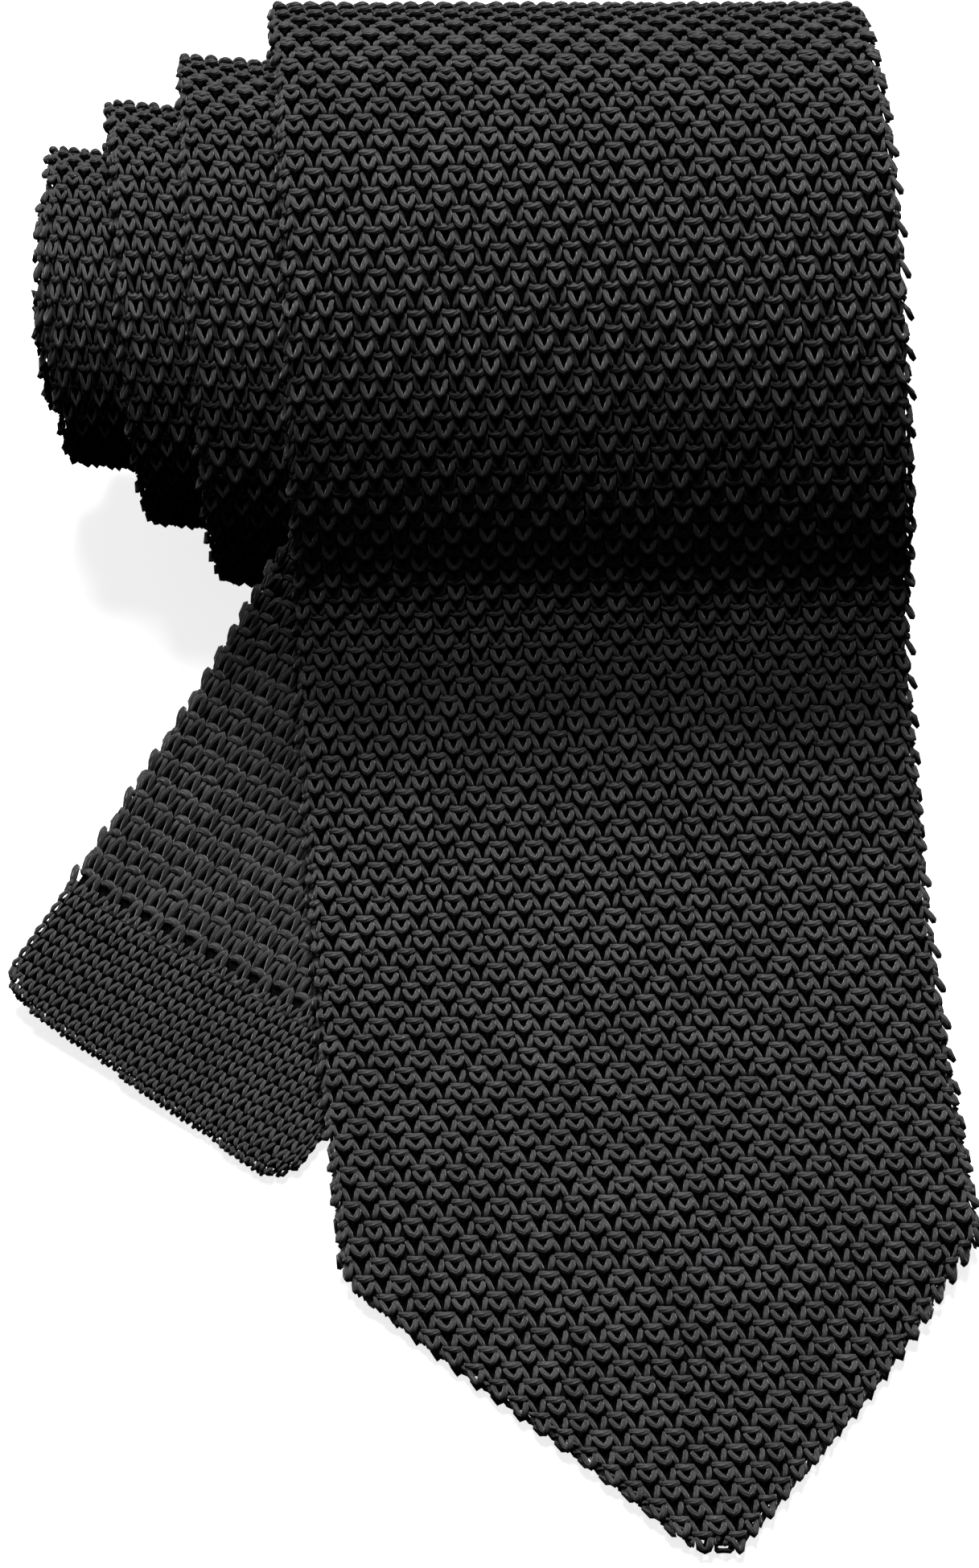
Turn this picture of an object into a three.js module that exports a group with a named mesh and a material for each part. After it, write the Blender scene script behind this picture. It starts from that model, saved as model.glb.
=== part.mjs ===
// A black knitted necktie, folded in half and rolled up for display.
//
// The tie is one long knitted tube, pressed flat. It is folded double at its
// middle and rolled from that fold, so both ends stay outside: the pointed
// blade comes over the roll and down its front, and the square narrow tail
// slides out beneath it to the left. The turns step out to the left.
//
// Frame: +X runs along the axis of the roll, -Y is the way the blade points,
// +Z is up. The part stands on z = 0, with its origin at the middle of the
// underside of its bounding box. All sizes are in millimetres.

import * as THREE from 'three';

// ---------------------------------------------------------------- fabric
const tubeThickness = 2.7;   // the flattened tube, both plies together
const plyGap = 0.3;          // between the two plies of the tube
const layerGap = 0.35;       // between neighbouring layers of the roll
const clearance = 0.3;       // between pieces that touch
const edgeBevel = 1.1;       // how far the rounded side folds reach in
const sideFold = 1.9;        // fabric beyond the end of the ply gap

// ---------------------------------------------------------------- roll
const heartRadius = 4.1;     // where the two halves touch at the heart of the roll
const frontAngle = 7;        // where the two ends leave the roll, degrees
const turns = 5;             // doubled turns from the outside to the fold
const stepAngle = 15;        // facet of the turns, degrees
const leanStart = -36;       // left of this the inner turns lean back
const leanBack = 0.137;      // how far back, per millimetre to the left

// Left edge and width of the wide half, and of the narrow half inside it,
// at the front of the roll: turn 0 is the outermost.
const wideLeft = [-35, -45.7, -54, -63, -65, -66];
const wideWidth = [70.5, 62, 54, 47, 43, 42];
const narrowLeft = [-22, -38, -48, -59, -64, -66];
const narrowWidth = 42;

// ---------------------------------------------------------------- drape
const frontSlope = 83;       // steepness where the ends leave the roll
const filletSlope = 30;      // steepness at the foot of the fillet
const filletRadius = 19.3;   // of the bend between roll and table
const easeLength = 62;       // run over which the slope dies out
const easePower = 1.15;
const runStep = 5;           // facet length along the drape

const bladeLength = 131;     // from the roll to the tip of the point
const bladeLean = 10.8;      // how far the tip lies right of the centre line
const bladeLeanPower = 1.8;
const shoulderLeft = 98;    // where the left slanted edge starts
const shoulderRight = 91.5;   // where the right slanted edge starts
const tipWidth = 5;          // the point is slightly blunt
const settleStart = 83;      // past the tail the blade comes down to the table
const settleLength = 24;

const tailAngle = 32;        // between the tail and the blade, seen flat
const tailStart = 5.2;       // run at which the tail comes out from under the blade
const tailBendAngle = 72;    // where the narrow half starts to turn aside
const tailCornerLeft = 58.5;  // run at the left corner of the square end
const tailCornerRight = 84.5;  // run at the right corner
const hemLength = 15;        // plain knitted hem, along the tail

// ---------------------------------------------------------------- joints
const bladeHinge = 3;        // run at which the blade lifts off the roll
const tailHinge = 8;         // run at which the tail lifts
const pointHinge = 82;       // run at which the point folds up

// ---------------------------------------------------------------- trims
const keeperAngles = [142, 157];   // where the keeper loop crosses the back
const keeperWidth = 46;            // across the blade
const keeperThickness = 0.6;
const tackWidth = 1.6;
const labelAngles = [82, 112];
const labelWidth = 34;
const labelThickness = 0.5;
const trimRoom = 0.9;              // the outer turn stands off by this much
const trimRamp = 30;               // degrees over which it does
const tapeWidth = 20;              // stay tape inside the neck
const tapeThickness = 0.5;

const fabricColour = 0x1c1c1e;
const hemColour = 0x1a1a1b;
const trimColour = 0x26262a;

// ---------------------------------------------------------------- helpers
const radians = THREE.MathUtils.degToRad;
const pitch = 2 * (tubeThickness + layerGap);
const frontRadius = heartRadius + turns * pitch;
const wideOffset = layerGap / 2;
const narrowOffset = -layerGap / 2 - tubeThickness;

/** Value at a fractional turn, smoothly through one value per turn. */
function byTurn(values, turn) {
  const knots = values.map((value, index) => new THREE.Vector2(index, value));
  return new THREE.SplineCurve(knots).getPoint(turn / (values.length - 1)).y;
}

/** Radius of the face where the two halves touch, at an angle of the roll. */
function contactRadius(angle) {
  return frontRadius - pitch * (angle - frontAngle) / 360;
}

const rollHeight = contactRadius(270) + wideOffset + tubeThickness;

/** Where the outer turn makes room for the label and the keeper loop. */
function roomForTrims(angle) {
  const rise = THREE.MathUtils.smoothstep(angle, labelAngles[0] - trimRamp, labelAngles[0]);
  const fall = THREE.MathUtils.smoothstep(angle, keeperAngles[1], keeperAngles[1] + trimRamp);
  return trimRoom * (rise - fall);
}

/** Place across the thickness at an angle of the roll; 0 is the front. */
function rollPlace(angle) {
  const turned = radians(angle);
  const normal = new THREE.Vector2(-Math.cos(turned), Math.sin(turned));
  const contact = normal.clone().multiplyScalar(contactRadius(angle));
  contact.y += rollHeight;
  return { contact, normal };
}

/** Steepness of the drape in degrees, for a given steep straight length. */
function drapeSlope(run, straight) {
  const filletLength = radians(frontSlope - filletSlope) * filletRadius;
  if (run < straight) return frontSlope;
  if (run < straight + filletLength) {
    return frontSlope - THREE.MathUtils.radToDeg((run - straight) / filletRadius);
  }
  const left = 1 - (run - straight - filletLength) / easeLength;
  return left > 0 ? filletSlope * left ** easePower : 0;
}

const sampleStep = 0.25;

/** Points of the drape's contact line, one every sampleStep of run. */
function sampleDrape(straight) {
  const points = [rollPlace(frontAngle).contact];
  for (let run = sampleStep / 2; run < bladeLength + sampleStep; run += sampleStep) {
    const slope = radians(drapeSlope(run, straight));
    const step = new THREE.Vector2(-Math.cos(slope), -Math.sin(slope));
    points.push(points.at(-1).clone().addScaledVector(step, sampleStep));
  }
  return points;
}

// The steep straight length takes up whatever height the bends leave over.
const tableContact = tubeThickness + layerGap / 2;
const spareHeight = sampleDrape(0).at(-1).y - tableContact;
const steepLength = spareHeight / Math.sin(radians(frontSlope));
const drape = sampleDrape(steepLength);
const landing = drape.at(-1).y - tableContact;

/** Place across the thickness at a run along the drape. */
function drapePlace(run) {
  const index = Math.min(run / sampleStep, drape.length - 1);
  const low = drape[Math.floor(index)];
  const high = drape[Math.min(Math.floor(index) + 1, drape.length - 1)];
  const contact = low.clone().lerp(high, index - Math.floor(index));
  contact.y -= landing * run / bladeLength;
  const slope = radians(drapeSlope(run, steepLength));
  return { contact, normal: new THREE.Vector2(-Math.sin(slope), Math.cos(slope)) };
}

/** A list of evenly spaced values from start to end, both included. */
function spread(start, end, step) {
  const count = Math.max(1, Math.round(Math.abs(end - start) / step));
  return Array.from({ length: count + 1 }, (_, index) => start + (end - start) * index / count);
}

// ---------------------------------------------------------------- edges
const tailSlant = Math.tan(radians(tailAngle));
const tailSpan = narrowWidth / Math.cos(radians(tailAngle));

/** Left and right edge of the wide half on the roll. */
function wideEdges(angle) {
  const turn = (angle - frontAngle) / 360;
  const left = byTurn(wideLeft, turn);
  return { left, right: left + byTurn(wideWidth, turn) };
}

/** How far the narrow half has turned aside, 0 to 1, at an angle. */
function tailTurned(angle) {
  return THREE.MathUtils.clamp((tailBendAngle - angle) / (tailBendAngle - frontAngle), 0, 1);
}

const bendLength = radians(tailBendAngle - frontAngle) * contactRadius(frontAngle);
const tailShift = tailSlant * bendLength / 2;

/** Left and right edge of the narrow half on the roll. */
function narrowEdges(angle) {
  const turned = tailTurned(angle);
  const turn = (angle - frontAngle) / 360;
  const bendTurn = (tailBendAngle - frontAngle) / 360;
  const straightLeft = tailSide(0) + (tailSpan - narrowWidth) / 2 + tailShift;
  const rolled = byTurn(narrowLeft, turn);
  const blend = THREE.MathUtils.smoothstep(turn, bendTurn, 1);
  const left = THREE.MathUtils.lerp(straightLeft, rolled, turn < bendTurn ? 0 : blend);
  const spare = (tailSpan - narrowWidth) * turned / 2;
  const shift = tailShift * turned ** 2;
  return { left: left - spare - shift, right: left + narrowWidth + spare - shift };
}

/** Left and right edge of the blade along the drape. */
function bladeEdges(run) {
  const along = Math.min(run / bladeLength, 1);
  const centre = wideLeft[0] + wideWidth[0] / 2 + bladeLean * along ** bladeLeanPower;
  const slant = (start) => Math.max(0, (run - start) / (bladeLength - start));
  const tip = wideLeft[0] + wideWidth[0] / 2 + bladeLean;
  const side = wideWidth[0] / 2;
  return {
    left: THREE.MathUtils.lerp(centre - side, tip - tipWidth / 2, slant(shoulderLeft)),
    right: THREE.MathUtils.lerp(centre + side, tip + tipWidth / 2, slant(shoulderRight)),
  };
}

/** Left edge of the tail along the drape, without its square end. */
function tailSide(run) {
  return wideLeft[0] - tailSlant * (run - tailStart);
}

const tailEndSlant = (tailCornerRight - tailCornerLeft)
  / (tailSide(tailCornerRight) + tailSpan - tailSide(tailCornerLeft));

/** Line parallel to the square end, a length back along the tail, at a run. */
function endLine(run, back) {
  const turned = radians(tailAngle);
  const ahead = run - tailCornerLeft + back * Math.cos(turned);
  return tailSide(tailCornerLeft) + back * Math.sin(turned) + ahead / tailEndSlant;
}

/** Edges of the tail above its hem. */
function tailEdges(run) {
  return {
    left: Math.max(tailSide(run), endLine(run, hemLength + clearance)),
    right: tailSide(run) + tailSpan,
  };
}

/** Edges of the hem across the tail's square end. */
function hemEdges(run) {
  return {
    left: Math.max(tailSide(run), endLine(run, 0)),
    right: Math.min(tailSide(run) + tailSpan, endLine(run, hemLength)),
  };
}

// ---------------------------------------------------------------- strips
/** Stations of the roll between two angles, running towards the ends. */
function rollStations(fromAngle, toAngle, edges, offset, room = () => 0) {
  return spread(fromAngle, toAngle, stepAngle).map((angle) => ({
    ...rollPlace(angle), ...edges(angle), offset: offset + room(angle), lean: leanBack,
  }));
}

/** Stations of the drape between two runs. */
function drapeStations(fromRun, toRun, edges, offset, lower = () => 0) {
  return spread(fromRun, toRun, runStep).map((run) => {
    const place = drapePlace(run);
    place.contact.y -= lower(run);
    return { ...place, ...edges(run), offset, lean: 0 };
  });
}

/** The blade's own way down to the table past the tail. */
function settle(run) {
  const down = THREE.MathUtils.smoothstep(run, settleStart, settleStart + settleLength);
  return (tubeThickness + layerGap) * down;
}

const sectionWidth = 20;   // nominal; each station sets the true width

/** Section of the flattened tube: pointed side folds round a flat slot. */
function tubeSection(thickness, slot) {
  const half = sectionWidth / 2;
  const shape = new THREE.Shape([
    new THREE.Vector2(-half, thickness / 2),
    new THREE.Vector2(-half + edgeBevel, 0),
    new THREE.Vector2(0, 0),
    new THREE.Vector2(half - edgeBevel, 0),
    new THREE.Vector2(half, thickness / 2),
    new THREE.Vector2(half - edgeBevel, thickness),
    new THREE.Vector2(0, thickness),
    new THREE.Vector2(-half + edgeBevel, thickness),
  ]);
  if (slot > 0) {
    const low = (thickness - slot) / 2;
    shape.holes.push(new THREE.Path([
      new THREE.Vector2(-half + sideFold, low),
      new THREE.Vector2(-half + sideFold, low + slot),
      new THREE.Vector2(0, low + slot),
      new THREE.Vector2(half - sideFold, low + slot),
      new THREE.Vector2(half - sideFold, low),
      new THREE.Vector2(0, low),
    ]));
  }
  return shape;
}

/** Plain flat section for tapes and labels. */
function tapeSection(thickness) {
  const half = sectionWidth / 2;
  return new THREE.Shape([
    new THREE.Vector2(-half, 0),
    new THREE.Vector2(0, 0),
    new THREE.Vector2(half, 0),
    new THREE.Vector2(half, thickness),
    new THREE.Vector2(0, thickness),
    new THREE.Vector2(-half, thickness),
  ]);
}

/** Place across the tie of a point of a section, from its station's edges. */
function acrossAt(across, { left, right }) {
  if (across < 0) return left + across + sectionWidth / 2;
  if (across > 0) return right + across - sectionWidth / 2;
  // The middle of the section lies on the line where the turns start to lean.
  const margin = Math.min(2 * sideFold, (right - left) / 2);
  return THREE.MathUtils.clamp(leanStart, left + margin, right - margin);
}

/** Sweeps a section through stations, keeping its sides on their edges. */
function sweep(section, stations) {
  const steps = stations.length - 1;
  const geometry = new THREE.ExtrudeGeometry(section, { depth: steps, steps, bevelEnabled: false });
  const position = geometry.attributes.position;
  for (let index = 0; index < position.count; index += 1) {
    const station = stations[Math.round(position.getZ(index))];
    const x = acrossAt(position.getX(index), station);
    const height = station.offset + position.getY(index);
    const place = station.contact.clone().addScaledVector(station.normal, height);
    const leaned = place.x + station.lean * Math.max(0, leanStart - x);
    position.setXYZ(index, x, leaned, place.y);
  }
  geometry.computeVertexNormals();
  return geometry;
}

const part = new THREE.Group();

/** Adds one named piece to the part. */
function addPiece(name, geometry, color, roughness = 0.9) {
  const material = new THREE.MeshStandardMaterial({ color, roughness, metalness: 0 });
  const mesh = new THREE.Mesh(geometry, material);
  mesh.name = name;
  part.add(mesh);
}

// ---------------------------------------------------------------- roll pieces
const plainTube = tubeSection(tubeThickness, plyGap);
const neckSlot = tapeThickness + 2 * clearance;
const neckTube = tubeSection(tubeThickness, neckSlot);
const roundGap = clearance / frontRadius * 180 / Math.PI;   // clearance as an angle

for (let turn = 1; turn <= turns; turn += 1) {
  const near = frontAngle + 360 * (turn - 1);
  // The gap between one turn's piece and the next grows as the radius shrinks.
  const far = near + 360 - roundGap * frontRadius / contactRadius(near + 360);
  const tube = turn === turns ? neckTube : plainTube;
  const room = turn === 1 ? roomForTrims : undefined;
  const wide = rollStations(far, near, wideEdges, wideOffset, room);
  const narrow = rollStations(far, near, narrowEdges, narrowOffset);
  if (turn === 1) {
    wide.push(...drapeStations(0, bladeHinge, bladeEdges, wideOffset).slice(1));
    narrow.push(...drapeStations(0, tailHinge, tailEdges, narrowOffset).slice(1));
  }
  addPiece(`blade_turn_${turn}`, sweep(tube, wide), fabricColour);
  addPiece(`tail_turn_${turn}`, sweep(turn === turns ? plainTube : tube, narrow), fabricColour);
}

// The middle fold joins the two halves at the heart of the roll.
const heartAngle = frontAngle + 360 * turns;
const foldEdges = narrowEdges(heartAngle);
const foldStations = spread(180, 0, 30).map((turned) => {
  const reach = Math.sin(radians(turned));
  const lift = Math.cos(radians(turned));
  return { reach, lift };
});
const foldGeometry = new THREE.ExtrudeGeometry(plainTube, {
  depth: foldStations.length - 1, steps: foldStations.length - 1, bevelEnabled: false,
});
const foldPosition = foldGeometry.attributes.position;
for (let index = 0; index < foldPosition.count; index += 1) {
  const { reach, lift } = foldStations[Math.round(foldPosition.getZ(index))];
  const out = wideOffset + foldPosition.getY(index);
  const angle = heartAngle
    + THREE.MathUtils.radToDeg((clearance * 0.5 + out * reach) / contactRadius(heartAngle));
  const { normal } = rollPlace(angle);
  const radius = contactRadius(angle) + out * lift;
  const x = acrossAt(foldPosition.getX(index), foldEdges);
  const y = normal.x * radius + leanBack * Math.max(0, leanStart - x);
  foldPosition.setXYZ(index, x, y, rollHeight + normal.y * radius);
}
foldGeometry.computeVertexNormals();
addPiece('middle_fold', foldGeometry, fabricColour);

// ---------------------------------------------------------------- trims
/** Edges of a trim of a given width, centred on the outer turn. */
function centredOn(width, shift = 0) {
  return (angle) => {
    const { left, right } = wideEdges(angle);
    const middle = (left + right) / 2 + shift;
    return { left: middle - width / 2, right: middle + width / 2 };
  };
}

/** Stations of a trim that lies against the inside of the outer turn. */
function trimStations(angles, width, thickness, shift = 0) {
  const below = (angle) => roomForTrims(angle);
  return rollStations(angles[1], angles[0], centredOn(width, shift),
    wideOffset - clearance - thickness, below);
}

addPiece('keeper_loop', sweep(tapeSection(keeperThickness),
  trimStations(keeperAngles, keeperWidth, keeperThickness)), trimColour, 0.7);
for (const [side, sign] of [['left', -1], ['right', 1]]) {
  const shift = sign * (keeperWidth / 2 + clearance + tackWidth / 2);
  addPiece(`keeper_tack_${side}`, sweep(tapeSection(keeperThickness),
    trimStations(keeperAngles, tackWidth, keeperThickness, shift)), trimColour, 0.7);
}
addPiece('blank_label', sweep(tapeSection(labelThickness),
  trimStations(labelAngles, labelWidth, labelThickness)), trimColour, 0.6);

// A woven stay tape runs inside the tube at the neck, so it can't stretch.
const tapeStart = frontAngle + 360 * (turns - 1) + stepAngle;
const tapeEdges = (angle) => {
  const { left, right } = wideEdges(angle);
  return { left: (left + right - tapeWidth) / 2, right: (left + right + tapeWidth) / 2 };
};
addPiece('neck_tape', sweep(tapeSection(tapeThickness), rollStations(
  heartAngle - 2 * stepAngle, tapeStart, tapeEdges,
  wideOffset + (tubeThickness - tapeThickness) / 2,
)), trimColour, 0.7);

// ---------------------------------------------------------------- blade
addPiece('blade_drape', sweep(plainTube, drapeStations(
  bladeHinge + clearance, pointHinge, bladeEdges, wideOffset)), fabricColour);
addPiece('blade_point', sweep(plainTube, drapeStations(
  pointHinge + clearance, bladeLength, bladeEdges, wideOffset, settle)), fabricColour);

// ---------------------------------------------------------------- tail
// The square end lies slantwise to the steps of the drape, so the tail and its
// hem run out to corners, where a small flat is left.
const cornerFlat = 5;
const cornerBack = cornerFlat / (1 / tailEndSlant + tailSlant);
const hemBack = (hemLength + clearance) * Math.cos(radians(tailAngle));
addPiece('tail_drape', sweep(plainTube, drapeStations(
  tailHinge + clearance, tailCornerRight - hemBack - cornerBack, tailEdges, narrowOffset,
)), fabricColour);
addPiece('tail_hem', sweep(plainTube, drapeStations(
  tailCornerLeft - hemLength * Math.cos(radians(tailAngle)) + cornerBack,
  tailCornerRight - cornerBack, hemEdges, narrowOffset,
)), hemColour);

const size = new THREE.Box3().setFromObject(part);
const middle = size.getCenter(new THREE.Vector3());
part.position.set(-middle.x, -middle.y, -size.min.z);

export default part;
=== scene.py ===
"""A black knitted necktie, folded in half and rolled up for display.

The tie is one flattened knitted tube. Each stretch of it is a smooth inner
shell of fabric, coloured near black as painted shade for the depths between
the stitches, with the real stitches of yarn lying over it: a plump bar, a
closed V below it and two loose legs below that, with every second column of
stitches half a repeat lower.
"""
import logging
import math
from dataclasses import dataclass, field
from enum import Enum
from typing import Optional, Sequence

import bmesh
import bpy
import numpy as np
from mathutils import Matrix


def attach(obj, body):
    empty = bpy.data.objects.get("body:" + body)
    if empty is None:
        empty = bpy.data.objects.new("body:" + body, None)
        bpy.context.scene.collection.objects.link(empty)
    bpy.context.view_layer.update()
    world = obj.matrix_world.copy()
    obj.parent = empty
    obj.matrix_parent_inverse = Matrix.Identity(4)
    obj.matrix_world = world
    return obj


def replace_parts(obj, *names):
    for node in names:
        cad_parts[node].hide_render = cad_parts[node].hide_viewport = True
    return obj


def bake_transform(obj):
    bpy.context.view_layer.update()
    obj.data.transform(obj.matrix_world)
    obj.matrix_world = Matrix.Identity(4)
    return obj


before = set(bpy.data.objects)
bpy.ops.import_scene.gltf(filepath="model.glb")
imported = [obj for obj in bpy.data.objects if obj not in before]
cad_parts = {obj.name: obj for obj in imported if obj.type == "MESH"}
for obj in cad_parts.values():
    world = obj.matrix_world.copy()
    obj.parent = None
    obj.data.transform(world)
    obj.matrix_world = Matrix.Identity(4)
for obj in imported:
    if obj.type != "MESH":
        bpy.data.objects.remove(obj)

LOG = logging.getLogger("necktie")
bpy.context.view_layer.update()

MM = 0.001
SEED = 20                # of the small irregularities
SHIFT_X = 13.565         # from the roll's own frame to the part's, mm
SHIFT_Y = 57.372

FABRIC = 2.7             # thickness of the flattened tube, mm
LAYER_GAP = 0.35         # between neighbouring layers of the roll, mm
SIDE_RADIUS = FABRIC / 2
QUARTER = math.pi / 2
SHELL_DEPTH = 1.0        # the inner shell lies this far inside the face, mm
EDGE_BULGE = 0.2         # how far stitches stand out on the side folds, mm
ROOT_START = -10.0       # run at which the free blade takes over from the outer turn
STRAY = np.array([0.035, 0.01575, 0.0315])  # how far a stitch strays: wales, periods, mm
SWELL = 0.045            # how much stitches differ in width
FOLD_EASE = 0.6          # how much closer the shell's faces lie at the side folds
WIDEST = 60              # no strip reaches this far from its middle, mm


class Detail(Enum):
    """How finely a stitch is modelled."""

    FULL = "full"
    PLAIN = "plain"


def linear(hex_colour: str) -> tuple[float, float, float, float]:
    """Turns an sRGB hex colour into a linear colour.

    Args:
        hex_colour: six hex digits with a leading hash.

    Returns:
        Red, green, blue and an alpha of one.
    """
    values = [int(hex_colour[i:i + 2], 16) / 255 for i in (1, 3, 5)]
    out = [v / 12.92 if v <= 0.04045 else ((v + 0.055) / 1.055) ** 2.4 for v in values]
    return (out[0], out[1], out[2], 1.0)


def smoothstep(value: np.ndarray, low: float, high: float) -> np.ndarray:
    """Returns the smooth ramp of value from 0 at low to 1 at high."""
    t = np.clip((np.asarray(value, float) - low) / (high - low), 0, 1)
    return t * t * (3 - 2 * t)


# ------------------------------------------------------------------ the way
@dataclass
class ContactLine:
    """The line in which the wide and the narrow half touch, seen from the side.

    It is measured from the front of the roll, where both ends leave it:
    forwards down the drape and backwards into the roll.
    """

    heart_radius: float = 4.1
    front_angle: float = 7.0
    turns: int = 5
    front_slope: float = 83.0
    fillet_slope: float = 30.0
    fillet_radius: float = 19.3
    ease_length: float = 62.0
    ease_power: float = 1.15
    length: float = 131.0
    step: float = 0.25
    lean_start: float = -36.0
    lean_back: float = 0.137
    runs: np.ndarray = field(init=False)
    places: np.ndarray = field(init=False)
    angles: np.ndarray = field(init=False)
    height: float = field(init=False)

    def __post_init__(self) -> None:
        """Works out the tables of places and normals along the line."""
        self.height = float(self.radius(270.0)) + LAYER_GAP / 2 + FABRIC
        drape = self._drape()
        angle = np.arange(self.front_angle, self.front_angle + 360 * self.turns + 60, 1.0)
        radius = self.radius(angle)
        turned = np.radians(angle)
        back = -np.concatenate([[0], np.cumsum((radius[1:] + radius[:-1]) / 2
                                               * np.radians(1.0))])
        roll = np.stack([-np.cos(turned) * radius, np.sin(turned) * radius + self.height,
                         -np.cos(turned), np.sin(turned)], axis=1)
        runs = np.arange(len(drape)) * self.step
        self.runs = np.concatenate([back[::-1], runs[1:]])
        self.places = np.concatenate([roll[::-1], drape[1:]])
        self.angles = np.concatenate([angle[::-1], np.full(len(runs) - 1, self.front_angle)])

    def radius(self, angle: np.ndarray) -> np.ndarray:
        """Returns the radius of the line at an angle of the roll."""
        pitch = 2 * (FABRIC + LAYER_GAP)
        turned = (np.asarray(angle, float) - self.front_angle) / 360
        return self.heart_radius + pitch * (self.turns - turned)

    def _slope(self, run: np.ndarray, straight: float) -> np.ndarray:
        """Returns the steepness of the drape in degrees."""
        fillet = math.radians(self.front_slope - self.fillet_slope) * self.fillet_radius
        bend = self.front_slope - np.degrees((run - straight) / self.fillet_radius)
        left = np.clip(1 - (run - straight - fillet) / self.ease_length, 0, 1)
        slope = np.where(run < straight + fillet, bend, self.fillet_slope * left ** self.ease_power)
        return np.where(run < straight, self.front_slope, slope)

    def _drape(self) -> np.ndarray:
        """Returns rows of y, z, normal y and normal z down to the table."""
        count = int(self.length / self.step) + 1
        middles = (np.arange(count) + 0.5) * self.step
        turned = math.radians(self.front_angle)
        radius = float(self.radius(self.front_angle))
        start = np.array([-math.cos(turned) * radius, math.sin(turned) * radius + self.height])
        table = FABRIC + LAYER_GAP / 2

        def fall(straight: float) -> np.ndarray:
            """Returns the line's points for one length of the steep part."""
            slope = np.radians(self._slope(middles, straight))
            steps = np.stack([-np.cos(slope), -np.sin(slope)], axis=1) * self.step
            return np.concatenate([[start], start + np.cumsum(steps, axis=0)])

        straight = (fall(0.0)[-1, 1] - table) / math.sin(math.radians(self.front_slope))
        points = fall(straight)
        runs = np.arange(count + 1) * self.step
        points[:, 1] -= (points[-1, 1] - table) * runs / self.length
        slope = np.radians(self._slope(runs, straight))
        return np.column_stack([points, -np.sin(slope), np.cos(slope)])

    def angle(self, run: np.ndarray) -> np.ndarray:
        """Returns the angle round the roll at a run along the line."""
        return np.interp(run, self.runs, self.angles)

    def run_at(self, angle: float) -> float:
        """Returns the run along the line at an angle of the roll."""
        return float(np.interp(angle, self.angles[::-1][len(self.places) - np.count_nonzero(
            self.runs <= 0):], self.runs[self.runs <= 0][::-1]))

    def lift(self, across: np.ndarray, run: np.ndarray, height: np.ndarray,
             drop: np.ndarray) -> np.ndarray:
        """Turns flat places on the fabric into places in the part's frame.

        Args:
            across: distance along the axis of the roll, mm.
            run: distance along the line, mm.
            height: height above the line, mm.
            drop: how far the place has sunk, mm.

        Returns:
            Rows of x, y and z in metres.
        """
        y, z, ny, nz = (np.interp(run, self.runs, self.places[:, k]) for k in range(4))
        lean = np.where(run < 0, self.lean_back * np.maximum(0, self.lean_start - across), 0)
        return np.stack([across + SHIFT_X, y + ny * height + lean + SHIFT_Y,
                         z + nz * height - drop], axis=-1) * MM


def by_turn(values: Sequence[float], turn: np.ndarray) -> np.ndarray:
    """Runs a smooth curve through one value per turn.

    Args:
        values: the value at each whole turn.
        turn: turns from the outside.

    Returns:
        The value at each turn asked for.
    """
    points = np.asarray(values, float)
    last = len(points) - 1
    place = np.clip(np.asarray(turn, float), 0, last)
    low = np.minimum(place.astype(int), last - 1)
    t = place - low
    p0, p1 = points[np.maximum(low - 1, 0)], points[low]
    p2, p3 = points[low + 1], points[np.minimum(low + 2, last)]
    p0 = np.where(low == 0, p1, p0)
    v0, v1 = (p2 - p0) / 2, (p3 - p1) / 2
    return ((2 * p1 - 2 * p2 + v0 + v1) * t ** 3 + (-3 * p1 + 3 * p2 - 2 * v0 - v1) * t ** 2
            + v0 * t + p1)


# ------------------------------------------------------------------ fabric
@dataclass
class Gauge:
    """The sizes of one kind of knitting, in mm."""

    wale: float
    period: float
    bar: float
    closed: float
    loose: float
    upside_down: bool = False


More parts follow.
